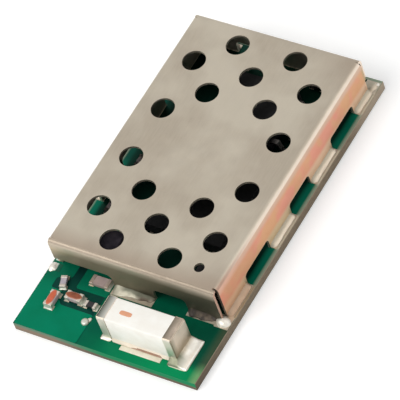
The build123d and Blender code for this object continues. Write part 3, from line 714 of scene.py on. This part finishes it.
def round_path(corners, outs, shares):
    """Points round the outside of a block: straight sides joined by turning normals."""
    path = []
    for i, out in enumerate(outs):
        path += straight_path(corners[i], corners[i + 1], out, TURN_SPACING,
                              (shares[i], shares[i + 1]))
        if i + 1 < len(outs):
            for step in range(1, TURN_STEPS):
                turned = Vector(out).lerp(Vector(outs[i + 1]), step / TURN_STEPS).normalized()
                share = shares[i + 1] * (1 + TURN_BULGE * math.sin(math.pi * step / TURN_STEPS))
                path.append((Vector(corners[i + 1]), turned, share))
    return path


def corner_heap(bm, middle, size, seed):
    """Rounded solder heap at a corner, kept off the edge of the board."""
    heap = bmesh.ops.create_uvsphere(bm, u_segments=28, v_segments=16, radius=1.0)["verts"]
    for v in heap:
        d = v.co.copy()
        swell = 1 + HEAP_ROUGH * lump(tuple(d), HEAP_LUMPS, seed)
        x = middle[0] + size[0] * d.x * swell
        v.co = Vector((min(max(x, board_low.x + HEAP_MARGIN), board_high.x - HEAP_MARGIN),
                       middle[1] + size[1] * d.y * swell,
                       land_top - HEAP_SUNK + max(d.z, 0.0) ** HEAP_SLOPE * size[2] * swell))


def shield_solder():
    """Solder along every foot of the can: smooth on the sides, rougher and duller at the corners."""
    sides = bmesh.new()
    for side, wall, feet in ((1, can_high.x, RIGHT_FEET), (-1, can_low.x, LEFT_FEET)):
        for seed, (start, stop) in enumerate(feet):
            path = straight_path((wall, can_middle_y + start), (wall, can_middle_y + stop), (side, 0))
            bead(sides, path, land_top, *SIDE_FILLET, seed, taper=0.2, rough=0.12, sag=1.5)
    path = straight_path((-MIDDLE_FOOT[0], can_high.y), (-MIDDLE_FOOT[1], can_high.y), (0, 1))
    bead(sides, path, land_top, *BACK_FILLET, seed=21, taper=0.3, rough=0.2)
    finish_piece("foot_solder", sides, "foot_metal", ["shield_solder"])

    front = bmesh.new()
    path = straight_path((MIDDLE_FOOT[0], can_low.y), (MIDDLE_FOOT[1], can_low.y), (0, -1),
                         shares=(1.1, 0.7))
    bead(front, path, land_top, *FRONT_FILLET, seed=12, taper=0.3)
    finish_piece("front_foot_solder", front, "front_solder", ["shield_solder"])

    darkened = bmesh.new()
    start, stop = CORNER_FOOT[0], CORNER_FOOT[1] - CORNER_FOOT_END
    for side, wall, seed in ((1, can_low.y, 14), (-1, can_high.y, 16)):
        path = straight_path((side * start, wall), (side * stop, wall), (0, -side))
        bead(darkened, path, land_top, *CORNER_FILLET, seed, taper=0.3, rough=0.45)
    finish_piece("dull_foot_solder", darkened, "dull_solder", ["shield_solder"])

    for name, slot, heaps in (("corner_solder", "bright_solder", BRIGHT_HEAPS),
                              ("back_corner_solder", "foot_metal", PLAIN_HEAPS)):
        bm = bmesh.new()
        for heap in heaps:
            corner_heap(bm, *heap)
        finish_piece(name, bm, slot, ["shield_solder"])


def wetted_land(bm, low, high, seed, layer, bottom, block=None, climb=0.0, reach=1.0):
    """Solder that covers a rectangular land and climbs the block that stands on it, if any.

    block holds the lowest and the highest corner of the block's foot, climb and reach the
    height and the width of the fillet round it.
    """
    columns = max(2, round((high[0] - low[0]) / WETTED_SPACING))
    rows = max(2, round((high[1] - low[1]) / WETTED_SPACING))
    grid = []
    for i in range(columns + 1):
        line = []
        for j in range(rows + 1):
            x = low[0] + (high[0] - low[0]) * i / columns
            y = low[1] + (high[1] - low[1]) * j / rows
            rim = min(min(x - low[0], high[0] - x, y - low[1], high[1] - y) / WETTED_RIM, 1.0)
            shell = math.sqrt(1 - (1 - rim) ** 2)
            fillet = 0.0
            if block:
                (left, front), (right, back) = block
                away = math.hypot(max(left - x, x - right, 0.0), max(front - y, y - back, 0.0))
                fillet = climb * max(1 - away / reach, 0.0) ** WETTED_SAG
                if min(x - left, right - x, y - front, back - y) > UNDER_BLOCK:
                    fillet = UNDER_HEIGHT - layer
            swell = 1 + WETTED_ROUGH * lump((x, y, 0.0), WETTED_LUMPS, seed)
            height = (layer + fillet) * swell * shell
            line.append((bm.verts.new((x, y, land_top + height)), bm.verts.new((x, y, bottom))))
        grid.append(line)
    for i in range(columns):
        for j in range(rows):
            square = (grid[i][j], grid[i + 1][j], grid[i + 1][j + 1], grid[i][j + 1])
            bm.faces.new([pair[0] for pair in square])
            bm.faces.new([pair[1] for pair in reversed(square)])
    outline = ([line[0] for line in grid] + grid[-1][1:] + [line[-1] for line in reversed(grid[:-1])]
               + list(reversed(grid[0][1:-1])))
    for a, b in zip(outline, outline[1:] + outline[:1]):
        bm.faces.new((a[0], a[1], b[1], b[0]))


def antenna_solder():
    """Solder over the land at the antenna's right end, and a small fillet round its left end."""
    bm = bmesh.new()
    front, back = caps_low.y, caps_high.y
    wetted_land(bm, (caps_high.x - PLATED_END, front - LAND_FRONT),
                (caps_high.x + LAND_RIGHT, back + LAND_BACK),
                seed=3, layer=0.1, bottom=land_top - SOLDER_SUNK,
                block=((caps_low.x, front), (caps_high.x, back)), climb=0.34, reach=0.7)
    inner = caps_low.x + PLATED_END
    corners = [(inner, front), (caps_low.x, front), (caps_low.x, back), (inner, back)]
    path = round_path(corners, [(0, -1), (-1, 0), (0, 1)], [0.4, 0.8, 0.8, 0.1])
    bead(bm, path, land_top, *ANTENNA_FILLET, seed=9, taper=0.5, sag=2.0)
    finish_piece("antenna_end_solder", bm, "land_solder", ["antenna_solder"])


def soft_block(bm, low, high, offset, segments):
    """A block with rounded edges."""
    made = bmesh.ops.create_cube(bm, size=1.0)["verts"]
    for v in made:
        v.co = Vector([(low[i] + high[i]) / 2 + v.co[i] * (high[i] - low[i]) for i in range(3)])
    edges = {e for v in made for e in v.link_edges}
    bmesh.ops.bevel(bm, geom=list(edges), offset=offset, segments=segments, profile=0.5,
                    affect="EDGES")


def antenna_block():
    """Ceramic antenna block with soft edges."""
    bm = bmesh.new()
    soft_block(bm, block_low, block_high, ANTENNA_ROUNDING, segments=4)
    finish_piece("antenna_body", bm, "antenna_ceramic", ["antenna_block"])


def lozenge(bm, middle, half, level, rise, power, turn=0.0, skirt=0.0):
    """A low dome with a rounded outline, such as a drop of glaze or a printed mark.

    power squares the outline, turn turns it, and skirt is the height of the upright side below
    the dome.
    """
    loops = []
    for ring in range(-1 if skirt else 0, DOME_RINGS + 1):
        turned = math.pi / 2 * max(ring, 0) / DOME_RINGS
        height = level + (skirt if ring >= 0 else 0.0) + rise * math.sin(turned) ** 0.7
        if ring == DOME_RINGS:
            loops.append([bm.verts.new((middle[0], middle[1], height))])
            continue
        loop = []
        for step in range(DOME_STEPS):
            angle = 2 * math.pi * step / DOME_STEPS
            c, s = math.cos(angle), math.sin(angle)
            reach = (abs(c) ** power + abs(s) ** power) ** (-1 / power) * math.cos(turned)
            px, py = half[0] * c * reach, half[1] * s * reach
            loop.append(bm.verts.new((middle[0] + px * math.cos(turn) - py * math.sin(turn),
                                      middle[1] + px * math.sin(turn) + py * math.cos(turn), height)))
        loops.append(loop)
    bm.faces.new(list(reversed(loops[0])))
    for a, b in zip(loops, loops[1:]):
        for k in range(DOME_STEPS):
            n = (k + 1) % DOME_STEPS
            if len(b) == 1:
                bm.faces.new((a[k], a[n], b[0]))
            else:
                bm.faces.new((a[k], a[n], b[n], b[k]))


def solids_of(node):
    """Lowest and highest corner in millimetres of each separate solid of a CAD node."""
    bm = bmesh.new()
    bm.from_mesh(nodes[node].data)
    bmesh.ops.remove_doubles(bm, verts=bm.verts, dist=1e-7)
    left = set(bm.verts)
    found = []
    while left:
        stack = [left.pop()]
        group = []
        while stack:
            v = stack.pop()
            group.append(v.co.copy())
            for e in v.link_edges:
                other = e.other_vert(v)
                if other in left:
                    left.remove(other)
                    stack.append(other)
        low = Vector([min(p[i] for p in group) for i in range(3)]) / MM
        high = Vector([max(p[i] for p in group) for i in range(3)]) / MM
        found.append((low, high))
    bm.free()
    return sorted(found, key=lambda pair: tuple(round(c, 3) for c in pair[0]))


def matching_capacitors():
    """Bodies of the two matching capacitors with the drop of coloured glaze on each."""
    bodies = bmesh.new()
    glaze = bmesh.new()
    for low, high in solids_of("matching_capacitors"):
        soft_block(bodies, low, high, CAPACITOR_ROUNDING, segments=3)
        size = high - low
        middle = (low + high) / 2
        # The drop runs past the ends of the body, and stops short of its sides
        along = max(size.x, size.y)
        reach = [GLAZE_OVER + 0.5 * size[i] if size[i] == along else 0.41 * size[i] for i in range(2)]
        lozenge(glaze, middle, reach, high.z - POUR_SUNK, GLAZE_RISE, power=2.2, skirt=GLAZE_SKIRT)
    finish_piece("matching_bodies", bodies, "capacitor_ceramic", ["matching_capacitors"])
    finish_piece("matching_glaze", glaze, "capacitor_glaze")


def chip_fillets():
    """The solder at the small parts' ends, with its edges drawn round."""
    bm = bmesh.new()
    bm.from_mesh(nodes["antenna_zone_solder"].data)
    bmesh.ops.scale(bm, vec=(1 / MM, 1 / MM, 1 / MM), verts=bm.verts)
    bmesh.ops.remove_doubles(bm, verts=bm.verts, dist=1e-4)
    bmesh.ops.dissolve_limit(bm, angle_limit=FLAT_ANGLE, verts=bm.verts, edges=bm.edges)
    sharp = [e for e in bm.edges if e.is_manifold and e.calc_face_angle(0.0) > SHARP_ANGLE]
    bmesh.ops.bevel(bm, geom=sharp, offset=CHIP_ROUNDING, segments=3, profile=0.5, affect="EDGES",
                    clamp_overlap=True)
    finish_piece("chip_fillets", bm, "chip_solder", ["antenna_zone_solder"])


def antenna_marks():
    """Mark on the antenna's top, what lies along its front foot, and the tail of the test dot."""
    bm = bmesh.new()
    lozenge(bm, MARK_MIDDLE, MARK_HALF, block_high.z - MARK_SUNK, MARK_RISE, power=4.0)
    finish_piece("antenna_mark", bm, "fired_mark")

    foot = block_low.y + ROOT
    bm = bmesh.new()
    path = straight_path((caps_low.x + UNDERFILL_INSET, foot), (caps_high.x - UNDERFILL_INSET, foot),
                         (0, -1), spacing=0.1)
    bead(bm, path, board_top - SOLDER_SUNK, *UNDERFILL, seed=33, taper=0.2, rough=0.1, sag=1.3)
    finish_piece("antenna_underfill", bm, "underfill")

    line = foot - FLUX_AHEAD
    bm = bmesh.new()
    path = straight_path((FLUX_LINE[0], line), (FLUX_LINE[1], line), (0, -1), spacing=0.1)
    bead(bm, path, board_top, *FLUX, seed=31, taper=0.5, rough=0.4)
    finish_piece("antenna_flux", bm, "flux")

    middle = (caps_low.x + caps_high.x) / 2
    half = FILM_SHARE * (caps_high.x - caps_low.x) + FILM_OVERLAP
    bm = bmesh.new()
    wetted_land(bm, (middle - half, caps_low.y - FILM_FRONT),
                (middle + half + FILM_RIGHT, caps_low.y - FILM_BACK),
                seed=5, layer=FILM_LAYER, bottom=board_top - MARK_SUNK)
    finish_piece("land_film", bm, "cream_film")

    bm = bmesh.new()
    lozenge(bm, TAIL_MIDDLE, TAIL_HALF, board_top - MARK_SUNK, TAIL_RISE, power=2.4, turn=TAIL_TURN)
    finish_piece("test_dot_tail", bm, "bright_solder")


def copper_pours():
    """Copper fields under the mask: raised a little, with the bare gaps between them."""
    for number, outline in enumerate(POURS):
        bm = bmesh.new()
        foot = [bm.verts.new((x, y, board_top - POUR_SUNK)) for x, y in outline]
        bm.faces.new(foot)
        bmesh.ops.bevel(bm, geom=foot, offset=POUR_CORNER, segments=4, profile=0.5, affect="VERTICES")
        face = max(bm.faces, key=lambda f: f.calc_area())
        lifted = bmesh.ops.extrude_face_region(bm, geom=[face])["geom"]
        top = [g for g in lifted if isinstance(g, bmesh.types.BMVert)]
        bmesh.ops.translate(bm, verts=top, vec=(0, 0, POUR_RISE))
        rim = [e for e in bm.edges if all(v in top for v in e.verts)]
        bmesh.ops.bevel(bm, geom=rim, offset=POUR_EDGE, segments=2, profile=0.5, affect="EDGES")
        finish_piece(f"copper_pour_{number + 1}", bm, "mask_over_copper", smooth=False)


# Camera, world, lights and floor

AZIMUTH, ELEVATION, ROLL = (math.radians(a) for a in (46.604, 49.693, -21.592))
TARGET = Vector((0.697, -0.611, 2.0)) * MM
DISTANCE = 274.084 * MM
FOCAL_PIXELS = 3760.9
PICTURE_PIXELS = 400
SENSOR_WIDTH = 36.0

WORLD_TONE, WORLD_STRENGTH = (0.96, 0.98, 1.0, 1.0), 0.52
FLOOR_TONE, FLOOR_GLOW = (0.82, 0.82, 0.82, 1.0), 0.32
FLOOR_HALF = 1.5  # metres
FLOOR_LEVEL = -0.01 * MM

# Azimuth and elevation in degrees, distance and size in metres, power in watts, colour
LAMPS = {
    "key": (-30.0, 50.0, 0.5, 0.3, 1.35, (1.0, 0.98, 0.94)),
    "fill": (130.0, 50.0, 0.6, 0.4, 0.45, (1.0, 0.97, 0.93)),
    "front": (0.0, 18.0, 0.5, 0.4, 0.35, (1.0, 0.99, 0.96)),
}


def direction(azimuth, elevation):
    """Unit vector from the object toward a camera or lamp, from angles in radians."""
    return Vector((math.sin(azimuth) * math.cos(elevation), -math.cos(azimuth) * math.cos(elevation),
                   math.sin(elevation)))


def add_camera():
    back = direction(AZIMUTH, ELEVATION)
    right = Vector((0, 0, 1)).cross(back).normalized()
    up = back.cross(right)
    turned_right = right * math.cos(ROLL) + up * math.sin(ROLL)
    turned_up = back.cross(turned_right)
    data = bpy.data.cameras.new("camera")
    data.sensor_width = SENSOR_WIDTH
    data.lens = SENSOR_WIDTH * FOCAL_PIXELS / PICTURE_PIXELS
    data.clip_start, data.clip_end = 0.01, 10.0
    camera = bpy.data.objects.new("camera", data)
    rotation = Matrix((turned_right, turned_up, back)).transposed()
    camera.matrix_world = Matrix.Translation(TARGET + back * DISTANCE) @ rotation.to_4x4()
    bpy.context.scene.collection.objects.link(camera)
    bpy.context.scene.camera = camera


def seen_or_mirrored(tree):
    """1 for camera, glossy and transmission rays."""
    path = tree.nodes.new("ShaderNodeLightPath")
    total = path.outputs["Is Camera Ray"]
    for ray in ("Is Glossy Ray", "Is Transmission Ray"):
        node = tree.nodes.new("ShaderNodeMath")
        node.operation = "MAXIMUM"
        tree.links.new(total, node.inputs[0])
        tree.links.new(path.outputs[ray], node.inputs[1])
        total = node.outputs["Value"]
    return total


def add_world():
    """Soft light all round, seen as plain white."""
    world = bpy.data.worlds.new("studio")
    bpy.context.scene.world = world
    world.use_nodes = True
    tree = world.node_tree
    light = tree.nodes["Background"]
    light.inputs["Color"].default_value = WORLD_TONE
    light.inputs["Strength"].default_value = WORLD_STRENGTH
    white = tree.nodes.new("ShaderNodeBackground")
    white.inputs["Strength"].default_value = 1.0
    mix = tree.nodes.new("ShaderNodeMixShader")
    tree.links.new(seen_or_mirrored(tree), mix.inputs["Fac"])
    tree.links.new(light.outputs[0], mix.inputs[1])
    tree.links.new(white.outputs[0], mix.inputs[2])
    tree.links.new(mix.outputs[0], tree.nodes["World Output"].inputs["Surface"])


def add_floor():
    """Pale paper that glows a little where it is seen, so that it shows nearly white."""
    mesh = bpy.data.meshes.new("floor")
    corners = [(-1, -1), (1, -1), (1, 1), (-1, 1)]
    mesh.from_pydata([(FLOOR_HALF * x, FLOOR_HALF * y, FLOOR_LEVEL) for x, y in corners], [],
                     [(0, 1, 2, 3)])
    floor = bpy.data.objects.new("floor", mesh)
    bpy.context.scene.collection.objects.link(floor)
    material = bpy.data.materials.new("floor_paper")
    material.use_nodes = True
    tree = material.node_tree
    tree.nodes.remove(tree.nodes["Principled BSDF"])
    paper = tree.nodes.new("ShaderNodeBsdfDiffuse")
    paper.inputs["Color"].default_value = FLOOR_TONE
    glow = tree.nodes.new("ShaderNodeEmission")
    strength = tree.nodes.new("ShaderNodeMath")
    strength.operation = "MULTIPLY"
    strength.inputs[1].default_value = FLOOR_GLOW
    tree.links.new(seen_or_mirrored(tree), strength.inputs[0])
    tree.links.new(strength.outputs["Value"], glow.inputs["Strength"])
    both = tree.nodes.new("ShaderNodeAddShader")
    tree.links.new(paper.outputs[0], both.inputs[0])
    tree.links.new(glow.outputs[0], both.inputs[1])
    tree.links.new(both.outputs[0], tree.nodes["Material Output"].inputs["Surface"])
    mesh.materials.append(material)


def add_lamp(name, azimuth, elevation, distance, size, power, colour):
    """A square area light that looks at the object from an azimuth and an elevation."""
    back = direction(math.radians(azimuth), math.radians(elevation))
    data = bpy.data.lights.new(name, "AREA")
    data.size, data.energy, data.color = size, power, colour
    lamp = bpy.data.objects.new(name, data)
    lamp.location = TARGET + back * distance
    lamp.rotation_mode = "QUATERNION"
    lamp.rotation_quaternion = back.to_track_quat("Z", "Y")
    bpy.context.scene.collection.objects.link(lamp)


dress_nodes()
shield_solder()
antenna_solder()
antenna_block()
matching_capacitors()
chip_fillets()
antenna_marks()
copper_pours()
add_camera()
add_world()
add_floor()
for name, values in LAMPS.items():
    add_lamp(name, *values)

scene = bpy.context.scene
scene.view_settings.view_transform = "Standard"
